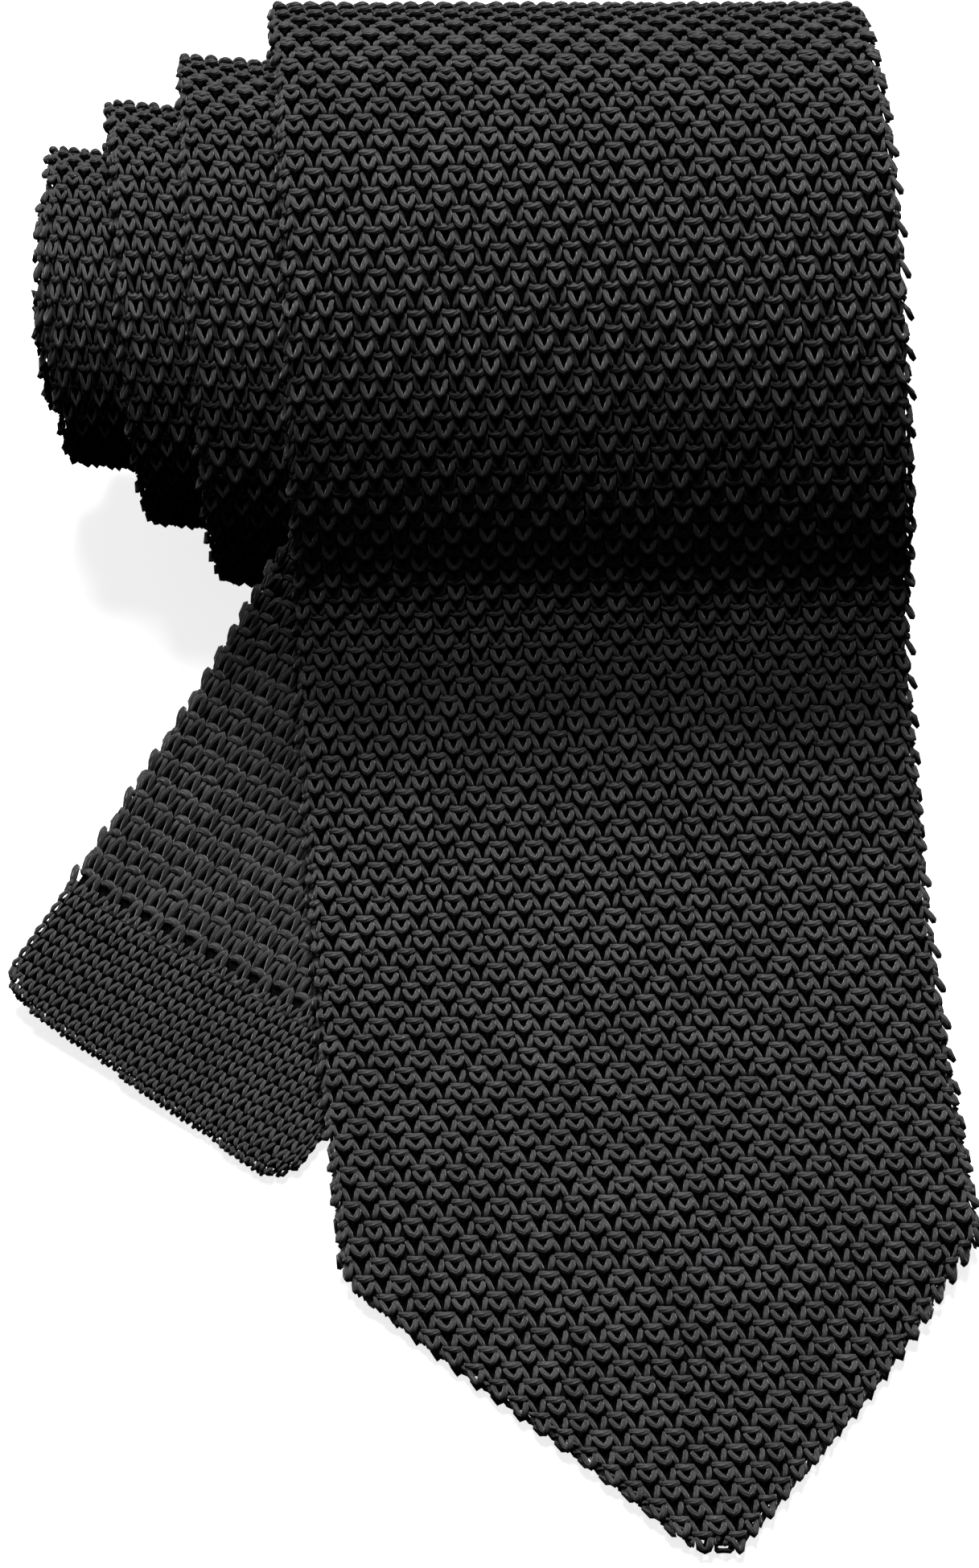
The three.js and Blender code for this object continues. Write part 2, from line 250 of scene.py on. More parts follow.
@dataclass
class Strip:
    """A stretch of flattened tube: two plies that meet in round side folds."""

    line: ContactLine
    middle: float                       # of the thickness, above the line
    wales: int                          # columns of stitches in each ply
    gauge: Gauge
    outline: Optional[np.ndarray] = None   # where the plies start to round over
    spiral: float = 0.0                 # how far the columns drift per mm of run
    tilt: float = 0.0                   # how far the rows climb per mm across
    radius: float = SIDE_RADIUS         # half the thickness, and of the side folds

    def half(self, run: np.ndarray) -> np.ndarray:
        """Returns half the width at a run."""
        raise NotImplementedError

    def flatten(self, across: np.ndarray, along: np.ndarray) -> tuple[np.ndarray, np.ndarray]:
        """Returns the distance along the roll's axis and the run of a place."""
        raise NotImplementedError

    def rise(self, run: np.ndarray) -> np.ndarray:
        """Returns how far the strip stands off its usual height."""
        return np.zeros_like(run)

    def drop(self, run: np.ndarray) -> np.ndarray:
        """Returns how far the strip has sunk to the table."""
        return np.zeros_like(run)

    def pitch(self, along: np.ndarray) -> np.ndarray:
        """Returns the width of one column of stitches."""
        face = 2 * (self.half(along) - self.radius) + QUARTER * 2 * self.radius
        return face / self.wales

    def rounding(self, across: np.ndarray, along: np.ndarray) -> tuple[np.ndarray, ...]:
        """Finds where a place lies against the flat core of its ply.

        Args:
            across: distance from the middle of the ply.
            along: distance along the strip.

        Returns:
            The nearest place of the core, across and along, the direction away
            from it, and how far away the place is.
        """
        core = self.half(along) - self.radius
        near = np.clip(across, -core, core)
        away = across - near
        if self.outline is None:
            return near, along, np.sign(away), np.zeros_like(along), np.abs(away)
        best = np.full(across.shape, np.inf)
        hit_x, hit_s = np.array(near), np.array(along)
        inside = np.zeros(across.shape, bool)
        for start, end in zip(self.outline, np.roll(self.outline, -1, axis=0)):
            side = end - start
            t = np.clip(((across - start[0]) * side[0] + (along - start[1]) * side[1])
                        / (side @ side), 0, 1)
            px, ps = start[0] + t * side[0], start[1] + t * side[1]
            gap = np.hypot(across - px, along - ps)
            closer = gap < best
            best = np.where(closer, gap, best)
            hit_x, hit_s = np.where(closer, px, hit_x), np.where(closer, ps, hit_s)
            crosses = (start[1] > along) != (end[1] > along)
            rise = side[1] if side[1] else 1.0
            inside ^= crosses & (across < start[0] + (along - start[1]) / rise * side[0])
        best = np.where(inside, 0, best)
        near_x, near_s = np.where(inside, across, hit_x), np.where(inside, along, hit_s)
        scale = np.maximum(best, 1e-9)
        return near_x, near_s, (across - near_x) / scale, (along - near_s) / scale, best

    def place(self, across: np.ndarray, along: np.ndarray, height: np.ndarray,
              side: np.ndarray) -> np.ndarray:
        """Puts places of a ply into the part's frame.

        Args:
            across: distance from the middle of the ply, over its fold.
            along: distance along the strip.
            height: height over the face of the ply.
            side: 1 for the outer ply, -1 for the inner one.

        Returns:
            Rows of x, y and z in metres.
        """
        near_x, near_s, dir_x, dir_s, away = self.rounding(across, along)
        turned = away / self.radius
        reach = (self.radius + height) * np.sin(turned)
        level = side * (self.radius + height) * np.cos(turned)
        x, run = self.flatten(near_x + dir_x * reach, near_s + dir_s * reach)
        return self.line.lift(x, run, self.middle + self.rise(run) + level, self.drop(run))

    def limits(self, along: np.ndarray) -> tuple[np.ndarray, np.ndarray]:
        """Returns where the ply meets the other one, left and right."""
        if self.outline is None:
            edge = self.half(along) - self.radius + QUARTER * self.radius
            return -edge, edge
        samples = np.linspace(-WIDEST, WIDEST, 20 * WIDEST + 1)
        left, right = [], []
        for value in along:
            away = self.rounding(samples, np.full(samples.shape, value))[4]
            within = samples[away <= QUARTER * self.radius]
            left.append(within[0] if len(within) else 0.0)
            right.append(within[-1] if len(within) else 0.0)
        return np.array(left), np.array(right)

    def cells(self, first: float, last: float, stagger: float = 0.5) -> dict[str, np.ndarray]:
        """Lays out the stitches of a stretch round the whole tube.

        Args:
            first: where the stretch starts.
            last: where it ends.
            stagger: how much lower every second column lies, in periods.

        Returns:
            Arrays of the column on its ply, the place along, the ply, the
            column's number and how far over the edge the stitch lies.
        """
        period, full = self.gauge.period, 2 * self.wales
        columns = np.arange(-self.wales, self.wales)
        rows = np.arange(math.floor(first / period) - 2, math.ceil(last / period) + 3)
        column, row = (grid.ravel() for grid in np.meshgrid(columns, rows))
        along = (row + stagger * (column % 2)) * period
        around = column + 0.5 + self.spiral * along / self.gauge.wale
        around = (around + self.wales) % full - self.wales
        outer = np.abs(around) <= self.wales / 2
        on_ply = np.where(outer, around, np.sign(around) * (self.wales - np.abs(around)))
        across = on_ply * self.pitch(along)
        along = along + self.tilt * across
        away = self.rounding(across, along)[4]
        keep = (along >= first) & (along < last) & (away <= QUARTER * self.radius * 1.02)
        return {"column": on_ply[keep], "along": along[keep],
                "side": np.where(outer, 1.0, -1.0)[keep], "away": away[keep]}


@dataclass
class WideStrip(Strip):
    """The wide half: rolled up, and hanging out as the blade."""

    lefts: Sequence[float] = (-35, -45.7, -54, -63, -65, -66)
    widths: Sequence[float] = (70.5, 62, 54, 47, 43, 42)
    lean: float = 10.8
    lean_power: float = 1.8
    trim_room: float = 0.9
    trim_ramp: float = 30.0
    trim_from: float = 82.0
    trim_to: float = 157.0
    settle_start: float = 83.0
    settle_length: float = 24.0

    def _turn(self, run: np.ndarray) -> np.ndarray:
        """Returns turns from the outside at a run."""
        return (self.line.angle(run) - self.line.front_angle) / 360

    def half(self, run: np.ndarray) -> np.ndarray:
        """Returns half the width at a run."""
        return by_turn(self.widths, self._turn(run)) / 2

    def centre(self, run: np.ndarray) -> np.ndarray:
        """Returns the place of the centre line across the part."""
        rolled = by_turn(self.lefts, self._turn(run)) + self.half(run)
        return rolled + self.lean * np.clip(run / self.line.length, 0, 1.1) ** self.lean_power

    def flatten(self, across: np.ndarray, along: np.ndarray) -> tuple[np.ndarray, np.ndarray]:
        """Returns the distance along the roll's axis and the run of a place."""
        return self.centre(along) + across, along

    def rise(self, run: np.ndarray) -> np.ndarray:
        """Returns the room made for the label and the keeper loop."""
        angle = self.line.angle(run)
        up = smoothstep(angle, self.trim_from - self.trim_ramp, self.trim_from)
        down = smoothstep(angle, self.trim_to, self.trim_to + self.trim_ramp)
        return self.trim_room * (up - down)

    def drop(self, run: np.ndarray) -> np.ndarray:
        """Returns how far the blade has come down past the tail."""
        down = smoothstep(run, self.settle_start, self.settle_start + self.settle_length)
        return (FABRIC + LAYER_GAP) * down


@dataclass
class NarrowStrip(Strip):
    """The narrow half inside the roll."""

    lefts: Sequence[float] = (-22, -38, -48, -59, -64, -66)
    width: float = 42.0

    def half(self, run: np.ndarray) -> np.ndarray:
        """Returns half the width at a run."""
        return np.full(np.shape(run), self.width / 2)

    def flatten(self, across: np.ndarray, along: np.ndarray) -> tuple[np.ndarray, np.ndarray]:
        """Returns the distance along the roll's axis and the run of a place."""
        turn = (self.line.angle(along) - self.line.front_angle) / 360
        return by_turn(self.lefts, turn) + self.width / 2 + across, along


@dataclass
class TailStrip(NarrowStrip):
    """The narrow half where it leaves the roll and slides out to the left."""

    angle: float = 32.0             # degrees between it and the blade, seen flat
    left: float = -35.0
    out_at: float = 5.2             # run at which it comes out from under the blade

    def flatten(self, across: np.ndarray, along: np.ndarray) -> tuple[np.ndarray, np.ndarray]:
        """Returns the distance along the roll's axis and the run of a place."""
        turned = math.radians(self.angle)
        side = across + self.width / 2
        return (self.left + side * math.cos(turned) - along * math.sin(turned),
                side * math.sin(turned) + along * math.cos(turned) + self.out_at)


@dataclass
class FoldStrip(NarrowStrip):
    """The fold at the heart of the roll, where the two halves are one tube."""

    gap: float = 0.15               # between the fold and the turns beside it

    def length(self) -> float:
        """Returns the length of the fold's middle."""
        return math.pi * self.middle

    def place(self, across: np.ndarray, along: np.ndarray, height: np.ndarray,
              side: np.ndarray) -> np.ndarray:
        """Puts places of a ply into the part's frame, round the half turn."""
        near_x, _, dir_x, _, away = self.rounding(across, along)
        turned = away / self.radius
        reach = (self.radius + height) * np.sin(turned)
        out = self.middle + side * (self.radius + height) * np.cos(turned)
        heart = self.line.run_at(self.line.front_angle + 360 * self.line.turns)
        x, _ = self.flatten(near_x + dir_x * reach, np.full(np.shape(across), heart))
        bend = along / self.middle
        return self.line.lift(x, heart - self.gap - out * np.sin(bend), out * np.cos(bend),
                              np.zeros(np.shape(x)))


@dataclass
class TapeStrip(Strip):
    """A flat tape that follows the wide half round the roll."""

    guide: Optional[WideStrip] = None
    width: float = 20.0
    shift: float = 0.0              # across, from the middle of the wide half

    def half(self, run: np.ndarray) -> np.ndarray:
        """Returns half the width at a run."""
        return np.full(np.shape(run), self.width / 2)

    def flatten(self, across: np.ndarray, along: np.ndarray) -> tuple[np.ndarray, np.ndarray]:
        """Returns the distance along the roll's axis and the run of a place."""
        return self.guide.centre(along) + self.shift + across, along

    def rise(self, run: np.ndarray) -> np.ndarray:
        """Returns the room made for the label and the keeper loop."""
        return self.guide.rise(run)


# ------------------------------------------------------------------ meshes
def fabric_shell(name: str, strip: Strip, first: float, last: float, step: float = 2.5,
                 around: int = 20, depth: float = SHELL_DEPTH,
                 closed: bool = False) -> bpy.types.Object:
    """Makes the smooth shell of a stretch, open where the fabric goes on.

    Args:
        name: the piece's name.
        strip: the stretch's shape.
        first: where it starts.
        last: where it ends.
        step: length of one face along the strip, mm.
        around: faces across each ply.
        depth: how far inside the face the shell lies, mm.
        closed: whether the two ends are closed, as on a tape.

    Returns:
        The new object.
    """
    rows = max(2, round((last - first) / step))
    mesh = bmesh.new()
    bmesh.ops.create_grid(mesh, x_segments=2 * around, y_segments=rows, size=0.5)
    grid = np.array([vertex.co for vertex in mesh.verts])
    along = first + (grid[:, 1] + 0.5) * (last - first)
    lap = (grid[:, 0] + 0.5) * 2                 # 0 to 1 outer ply, 1 to 2 inner
    table = np.linspace(first, last, rows + 1)
    left_table, right_table = strip.limits(table)
    left = np.interp(along, table, left_table)
    right = np.interp(along, table, right_table)
    part = np.where(lap <= 1, lap, 2 - lap)
    eased = (1 - np.cos(part * math.pi)) / 2 * FOLD_EASE + part * (1 - FOLD_EASE)
    side = np.where(lap <= 1, 1.0, -1.0)
    placed = strip.place(left + (right - left) * eased, along,
                         np.full(len(grid), -depth), side)
    layer = mesh.loops.layers.uv.new("Yarn")
    mesh.verts.index_update()
    wide = (right - left) * part * side
    for face in mesh.faces:
        for loop in face.loops:
            loop[layer].uv = (along[loop.vert.index], wide[loop.vert.index])
    for vertex, place in zip(mesh.verts, placed):
        vertex.co = place
    bmesh.ops.remove_doubles(mesh, verts=mesh.verts, dist=0.02 * MM)
    if closed:
        bmesh.ops.holes_fill(mesh, edges=[edge for edge in mesh.edges if edge.is_boundary])
    bmesh.ops.recalc_face_normals(mesh, faces=mesh.faces)
    return as_object(name, mesh)


def as_object(name: str, mesh: bmesh.types.BMesh) -> bpy.types.Object:
    """Turns a finished bmesh into a smooth object at the origin."""
    data = bpy.data.meshes.new(name)
    mesh.to_mesh(data)
    mesh.free()
    data.shade_smooth()
    made = bpy.data.objects.new(name, data)
    bpy.context.scene.collection.objects.link(made)
    return made


@dataclass
class Solid:
    """A small closed shape as arrays, ready to be repeated."""

    corners: np.ndarray
    loops: np.ndarray
    sizes: np.ndarray
    uvs: np.ndarray

    @classmethod
    def joined(cls, solids: Sequence["Solid"]) -> "Solid":
        """Returns several shapes as one."""
        start, loops = 0, []
        for solid in solids:
            loops.append(solid.loops + start)
            start += len(solid.corners)
        return cls(np.concatenate([s.corners for s in solids]), np.concatenate(loops),
                   np.concatenate([s.sizes for s in solids]),
                   np.concatenate([s.uvs for s in solids]))


def yarn_length(path: Sequence[Sequence[float]], around: int, flat: float = 1.0) -> Solid:
    """Bends a grid into a short closed length of yarn.

    Args:
        path: rows of across, along, height and radius in mm.
        around: faces round the yarn.
        flat: how high the yarn is for its width.

    Returns:
        The closed length, pointed at both ends.
    """
    points = np.asarray(path, float)
    count = len(points) - 1
    mesh = bmesh.new()
    bmesh.ops.create_grid(mesh, x_segments=around, y_segments=count, size=0.5)
    layer = mesh.loops.layers.uv.new("Yarn")
    ahead = np.gradient(points[:, :3], axis=0)
    ahead /= np.linalg.norm(ahead, axis=1)[:, None]
    up = np.array([0.0, 0.0, 1.0])
    lengths = np.concatenate([[0], np.cumsum(np.linalg.norm(np.diff(points[:, :3], axis=0),
                                                            axis=1))])
    for face in mesh.faces:
        for loop in face.loops:
            row = round((loop.vert.co.y + 0.5) * count)
            loop[layer].uv = (lengths[row], loop.vert.co.x + 0.5)
    for vertex in mesh.verts:
        row = round((vertex.co.y + 0.5) * count)
        turned = (vertex.co.x + 0.5) * 2 * math.pi
        side = np.cross(ahead[row], up)
        side /= max(np.linalg.norm(side), 1e-9)
        over = np.cross(side, ahead[row])
        radius = points[row, 3]
        vertex.co = (points[row, :3] + side * math.cos(turned) * radius
                     + over * math.sin(turned) * radius * flat)
    bmesh.ops.remove_doubles(mesh, verts=mesh.verts, dist=1e-4)
    bmesh.ops.recalc_face_normals(mesh, faces=mesh.faces)
    mesh.verts.index_update()
    corners = np.array([vertex.co for vertex in mesh.verts])
    loops = np.array([loop.vert.index for face in mesh.faces for loop in face.loops])
    uvs = np.array([loop[layer].uv for face in mesh.faces for loop in face.loops])
    sizes = np.array([len(face.loops) for face in mesh.faces])
    mesh.free()
    return Solid(corners, loops, sizes, uvs)


def knit_stitch(gauge: Gauge, detail: Detail) -> Solid:
    """Models one repeat of the knitting: a bar, a closed V and two loose legs.

    Args:
        gauge: the sizes of the knitting.
        detail: how finely it is modelled.

    Returns:
        The stitch, with places across in wales, along in periods and up in mm.
    """
    wale, period = gauge.wale, gauge.period

    def mirrored(rows: list[list[float]]) -> list[list[float]]:
        """Returns a path from its left half and middle."""
        return rows + [[-a, b, h, share] for a, b, h, share in rows[-2::-1]]

    def laid(rows: Sequence[Sequence[float]], radius: float) -> list[list[float]]:
        """Turns shares of a wale and a period into mm."""
        return [[a * wale, b * period, h, share * radius] for a, b, h, share in rows]

    # Rows of across in wales, along in periods, height in mm and share of the radius.
    bar = mirrored([[-0.53, 0.05, -1.15, 0], [-0.46, 0.07, -0.85, 0.8],
                    [-0.26, 0.105, -0.72, 1.0], [0, 0.125, -0.70, 1.0]])
    closed = mirrored([[-0.40, 0.13, -1.2, 0], [-0.38, 0.24, -0.78, 0.85],
                       [-0.32, 0.39, -0.38, 1.0], [-0.18, 0.53, -0.14, 1.08],
                       [0, 0.595, -0.10, 1.15]])
    loose = [[-0.42, 0.54, -1.3, 0], [-0.40, 0.63, -1.0, 0.9], [-0.35, 0.76, -0.75, 1.0],
             [-0.27, 0.90, -0.55, 1.0], [-0.21, 1.0, -0.60, 0.95], [-0.17, 1.08, -1.1, 0]]
    if detail is Detail.PLAIN:
        bar, closed = bar[::2], closed[::2]
        loose = [loose[0], loose[2], loose[4], loose[5]]
    around = 6 if detail is Detail.FULL else 4
    legs = 5 if detail is Detail.FULL else 4
    other = [[-a, b, h, share] for a, b, h, share in loose]
    solids = [yarn_length(laid(bar, gauge.bar), around, 0.78),
              yarn_length(laid(closed, gauge.closed), legs),
              yarn_length(laid(loose, gauge.loose), legs),
              yarn_length(laid(other, gauge.loose), legs)]
    stitch = Solid.joined(solids)
    stitch.corners = stitch.corners / [wale, period, 1]
    if gauge.upside_down:
        stitch.corners[:, 1] = 1 - stitch.corners[:, 1]
    return stitch


def plain_stitch(gauge: Gauge) -> Solid:
    """Models one stitch of the plain hem: the two legs of a small V."""
    rows = [[0.10, 1.05, -0.95, 0], [0.14, 0.90, -0.50, 0.95], [0.26, 0.52, -0.32, 1.0],
            [0.38, 0.12, -0.50, 0.95], [0.42, -0.05, -0.95, 0]]
    legs = []
    for sign, sunk in ((1, 0.0), (-1, -0.12)):
        path = [[sign * a * gauge.wale, b * gauge.period, h + sunk, share * gauge.loose]
                for a, b, h, share in rows]
        legs.append(yarn_length(path, 5))
    stitch = Solid.joined(legs)
    stitch.corners = stitch.corners / [gauge.wale, gauge.period, 1]
    return stitch


def knit_yarn(name: str, strip: Strip, stitch: Solid, cells: dict[str, np.ndarray],
              keep: np.ndarray, rng: np.random.Generator) -> Optional[bpy.types.Object]:
    """Repeats a stitch over the chosen places of a strip.

    Args:
        name: the piece's name.
        strip: the strip's shape.
        stitch: the stitch to repeat.
        cells: the layout of the strip's stitches.
        keep: which of them to make.
        rng: the source of the small irregularities.

    Returns:
        The new object, or nothing where no stitch is kept.
    """
    column, along, side = (cells[key][keep] for key in ("column", "along", "side"))
    count = len(column)
    if not count:
        return None
    shift = rng.normal(0, 1, (count, 3)) * STRAY
    swell = 1 + rng.normal(0, SWELL, (count, 1))
    corners = stitch.corners
    a = (corners[None, :, 0] * swell + shift[:, 0:1]) * side[:, None] + column[:, None]
    b = corners[None, :, 1] + shift[:, 1:2]
    bulge = EDGE_BULGE * np.clip(cells["away"][keep] / (QUARTER * strip.radius), 0, 1)
    height = corners[None, :, 2] * np.ones((count, 1)) + shift[:, 2:3] + bulge[:, None]
    base = along[:, None] + np.zeros_like(a)
    sunk = strip.gauge.period * (b - 0.5)
    across = a * strip.pitch(base)
    placed = strip.place(across, base + sunk, height, side[:, None] * np.ones_like(a))
    flat = placed.reshape(-1, 3)
    loops = (stitch.loops[None, :] + np.arange(count)[:, None] * len(corners)).ravel()
    sizes = np.tile(stitch.sizes, count)
    starts = np.concatenate([[0], np.cumsum(sizes)[:-1]])
    uvs = (stitch.uvs[None, :, :] + rng.uniform(0, 50, (count, 1, 2)) * [1, 0]).reshape(-1, 2)
    first = flat[stitch.loops[:stitch.sizes[0]]]
    centre = flat[:len(corners)]
    outward = np.cross(first[1] - first[0], first[2] - first[1])
    nearest = centre[np.abs(stitch.corners - stitch.corners[stitch.loops[0]]).sum(1) < 1.2]
    if np.dot(outward, first.mean(0) - nearest.mean(0)) < 0:
        order = np.arange(len(loops))
        ends = starts + sizes
        flip = (starts + ends - 1).repeat(sizes) - order
        loops, uvs = loops[flip], uvs[flip]
    mesh = bpy.data.meshes.new(name)
    mesh.vertices.add(len(flat))
    mesh.vertices.foreach_set("co", flat.astype(np.float32).ravel())
    mesh.loops.add(len(loops))
    mesh.loops.foreach_set("vertex_index", loops.astype(np.int32))
    mesh.polygons.add(len(sizes))
    mesh.polygons.foreach_set("loop_start", starts.astype(np.int32))
    layer = mesh.uv_layers.new(name="Yarn")
    layer.data.foreach_set("uv", uvs.astype(np.float32).ravel())
    tone = mesh.attributes.new("Tone", "FLOAT", "POINT")
    tone.data.foreach_set("value", np.repeat(rng.uniform(0, 1, count), len(corners))
                          .astype(np.float32))
    mesh.update(calc_edges=True)
    mesh.shade_smooth()
    made = bpy.data.objects.new(name, mesh)
    bpy.context.scene.collection.objects.link(made)
    triangles = int((stitch.sizes - 2).sum()) * count
    LOG.info("%s: %d stitches, %d triangles", name, count, triangles)
    return made


# ------------------------------------------------------------------ finishes
def add_node(tree: bpy.types.NodeTree, kind: str, settings: Optional[dict] = None,
             links: Optional[dict] = None) -> bpy.types.Node:
    """Adds a node to a tree.

    Args:
        tree: the node tree.
        kind: the node's type name.
        settings: attributes by name, and input values by "in:" and the input.
        links: output sockets by the input that they feed.

    Returns:
        The new node.
    """
    node = tree.nodes.new(kind)
    for key, value in (settings or {}).items():
        if key.startswith("in:"):
            node.inputs[key[3:]].default_value = value
        else:
            setattr(node, key, value)
    for key, socket in (links or {}).items():
        tree.links.new(socket, node.inputs[key])
    return node


def blank_material(name: str) -> bpy.types.Material:
    """Returns a new material whose node tree is still empty."""
    made = bpy.data.materials.new(name)
    made.use_nodes = True
    made.node_tree.nodes.clear()
    return made


def ramp_stops(node: bpy.types.Node, stops: Sequence[tuple[float, Sequence[float]]]) -> None:
    """Sets the two end colours of a colour ramp."""
    for element, (position, colour) in zip(node.color_ramp.elements, stops):
        element.position = position
        element.color = colour


@dataclass(frozen=True)
class YarnFinish:
    """Dull black polyester yarn, loosely twisted from fine filaments.

    It gives the eye dark grey ridges with a faint sheen, fine streaks along
    the yarn and a few tiny glints where single filaments stand out.
    """

    name: str = "twisted_polyester_yarn"
    dark: str = "#171718"
    light: str = "#2a2a2c"
    roughness: float = 0.8
    sheen: float = 0.12
    twist_length: float = 1.6       # one turn of the twist along the yarn, mm
    filament: float = 0.12          # a bundle of filaments across the yarn, mm
    streak_share: float = 0.55      # how much streaks count against the stitch's own tone
    cloud: float = 9.0              # size of the uneven patches of dye, mm
    relief: float = 0.09            # depth of the twist, mm
    index: float = 1.52             # of refraction, polyester
    shine: float = 0.22             # specular level: well below a smooth plastic's
    glint: float = 0.45             # roughness of the filaments that shine most

    def material(self) -> bpy.types.Material:
        """Returns the node material."""
        made = blank_material(self.name)
        tree = made.node_tree
        uv = add_node(tree, "ShaderNodeUVMap", {"uv_map": "Yarn"})
        streaked = add_node(tree, "ShaderNodeMapping", {
            "in:Scale": (1 / self.twist_length, 3.0, 1.0),
            "in:Rotation": (0, 0, 0.5)}, {"Vector": uv.outputs["UV"]})
        streaks = add_node(tree, "ShaderNodeTexNoise", {
            "in:Scale": 3.0, "in:Detail": 3.0, "in:Roughness": 0.6},
            {"Vector": streaked.outputs["Vector"]})
        plies = add_node(tree, "ShaderNodeTexWave", {
            "bands_direction": "Y", "in:Scale": 0.9, "in:Distortion": 1.4,
            "in:Detail": 2.0}, {"Vector": streaked.outputs["Vector"]})
        place = add_node(tree, "ShaderNodeTexCoord")
        cloudy = add_node(tree, "ShaderNodeTexNoise", {
            "in:Scale": 1 / (self.cloud * MM), "in:Detail": 2.0}, {"Vector": place.outputs["Object"]})
        fluff = add_node(tree, "ShaderNodeTexNoise", {
            "in:Scale": 1 / (self.filament * MM), "in:Detail": 1.0},
            {"Vector": place.outputs["Object"]})
        tone = add_node(tree, "ShaderNodeAttribute", {"attribute_name": "Tone"})
        mixed = add_node(tree, "ShaderNodeMath", {"operation": "MULTIPLY_ADD"},
                         {0: streaks.outputs["Fac"]})
        mixed.inputs[1].default_value = self.streak_share
        tree.links.new(tone.outputs["Fac"], mixed.inputs[2])
        shade = add_node(tree, "ShaderNodeMath", {"operation": "MULTIPLY"},
                         {0: mixed.outputs[0], 1: cloudy.outputs["Fac"]})
        ramp = add_node(tree, "ShaderNodeValToRGB", None, {"Fac": shade.outputs[0]})
        ramp_stops(ramp, [(0.15, linear(self.dark)), (0.85, linear(self.light))])
        height = add_node(tree, "ShaderNodeMath", {"operation": "ADD"},
                          {0: plies.outputs["Fac"], 1: streaks.outputs["Fac"]})
        bump = add_node(tree, "ShaderNodeBump", {"in:Strength": 0.55, "in:Distance": self.relief * MM},
                        {"Height": height.outputs[0]})
        glint = add_node(tree, "ShaderNodeMapRange", {
            "in:From Min": 0.30, "in:From Max": 0.55, "in:To Min": self.glint,
            "in:To Max": self.roughness}, {"Value": fluff.outputs["Fac"]})
        shader = add_node(tree, "ShaderNodeBsdfPrincipled", {
            "in:Sheen Weight": self.sheen, "in:Sheen Roughness": 0.45, "in:IOR": self.index,
            "in:Specular IOR Level": self.shine},
            {"Base Color": ramp.outputs["Color"], "Roughness": glint.outputs["Result"],
             "Normal": bump.outputs["Normal"]})
        add_node(tree, "ShaderNodeOutputMaterial", None, {"Surface": shader.outputs["BSDF"]})
        return made


@dataclass(frozen=True)
class PaintedShadeFinish:
    """Painted shade for the inside of the knitting, where the yarn lies in its own shade: near-black
    colours, far darker than the yarn, stand in for that shade.
    """

    name: str = "knit_inside_painted_shade"
    # painted shade: near-black colours, far darker than the yarn, stand in for the shade between and
    # under the stitches
    dark: str = "#020202"
    light: str = "#080808"
    grain: float = 0.5              # yarn floats seen in the depth, mm

    def material(self) -> bpy.types.Material:
        """Returns the node material."""
        made = blank_material(self.name)
        tree = made.node_tree
        place = add_node(tree, "ShaderNodeTexCoord")
        grain = add_node(tree, "ShaderNodeTexNoise", {
            "in:Scale": 1 / (self.grain * MM), "in:Detail": 2.0},
            {"Vector": place.outputs["Object"]})
        ramp = add_node(tree, "ShaderNodeValToRGB", None, {"Fac": grain.outputs["Fac"]})
        ramp_stops(ramp, [(0.3, linear(self.dark)), (0.7, linear(self.light))])
        bump = add_node(tree, "ShaderNodeBump", {"in:Strength": 0.6, "in:Distance": 0.2 * MM},
                        {"Height": grain.outputs["Fac"]})
        shader = add_node(tree, "ShaderNodeBsdfPrincipled", {
            "in:Roughness": 1.0, "in:Specular IOR Level": 0.0},
            {"Base Color": ramp.outputs["Color"], "Normal": bump.outputs["Normal"]})
        add_node(tree, "ShaderNodeOutputMaterial", None, {"Surface": shader.outputs["BSDF"]})
        return made


@dataclass(frozen=True)
class RibbonFinish:
    """Woven polyester ribbon: a tight plain weave with a soft shine."""

    name: str = "woven_polyester_ribbon"
    dark: str = "#161618"
    light: str = "#2c2c30"
    thread: float = 0.28            # spacing of the ribbon's threads, mm

    def material(self) -> bpy.types.Material:
        """Returns the node material."""
        made = blank_material(self.name)
        tree = made.node_tree
        uv = add_node(tree, "ShaderNodeUVMap", {"uv_map": "Yarn"})
        scale = 1 / self.thread / 2
        weft = add_node(tree, "ShaderNodeTexWave", {
            "bands_direction": "X", "in:Scale": scale, "in:Distortion": 0.3},
            {"Vector": uv.outputs["UV"]})
        warp = add_node(tree, "ShaderNodeTexWave", {
            "bands_direction": "Y", "in:Scale": scale, "in:Distortion": 0.3},
            {"Vector": uv.outputs["UV"]})
        weave = add_node(tree, "ShaderNodeMath", {"operation": "MULTIPLY"},
                         {0: weft.outputs["Fac"], 1: warp.outputs["Fac"]})
        ramp = add_node(tree, "ShaderNodeValToRGB", None, {"Fac": weave.outputs[0]})
        ramp_stops(ramp, [(0.1, linear(self.dark)), (0.8, linear(self.light))])
        bump = add_node(tree, "ShaderNodeBump", {"in:Strength": 0.5, "in:Distance": 0.08 * MM},
                        {"Height": weave.outputs[0]})
        shader = add_node(tree, "ShaderNodeBsdfPrincipled", {
            "in:Roughness": 0.5, "in:Sheen Weight": 0.15},
            {"Base Color": ramp.outputs["Color"], "Normal": bump.outputs["Normal"]})
        add_node(tree, "ShaderNodeOutputMaterial", None, {"Surface": shader.outputs["BSDF"]})
        return made


@dataclass
class Finishes:
    """The materials of the whole tie."""

    yarn: bpy.types.Material
    # painted shade of the inner shells, seen between the stitches
    painted_shade: bpy.types.Material
    ribbon: bpy.types.Material
    thread: bpy.types.Material


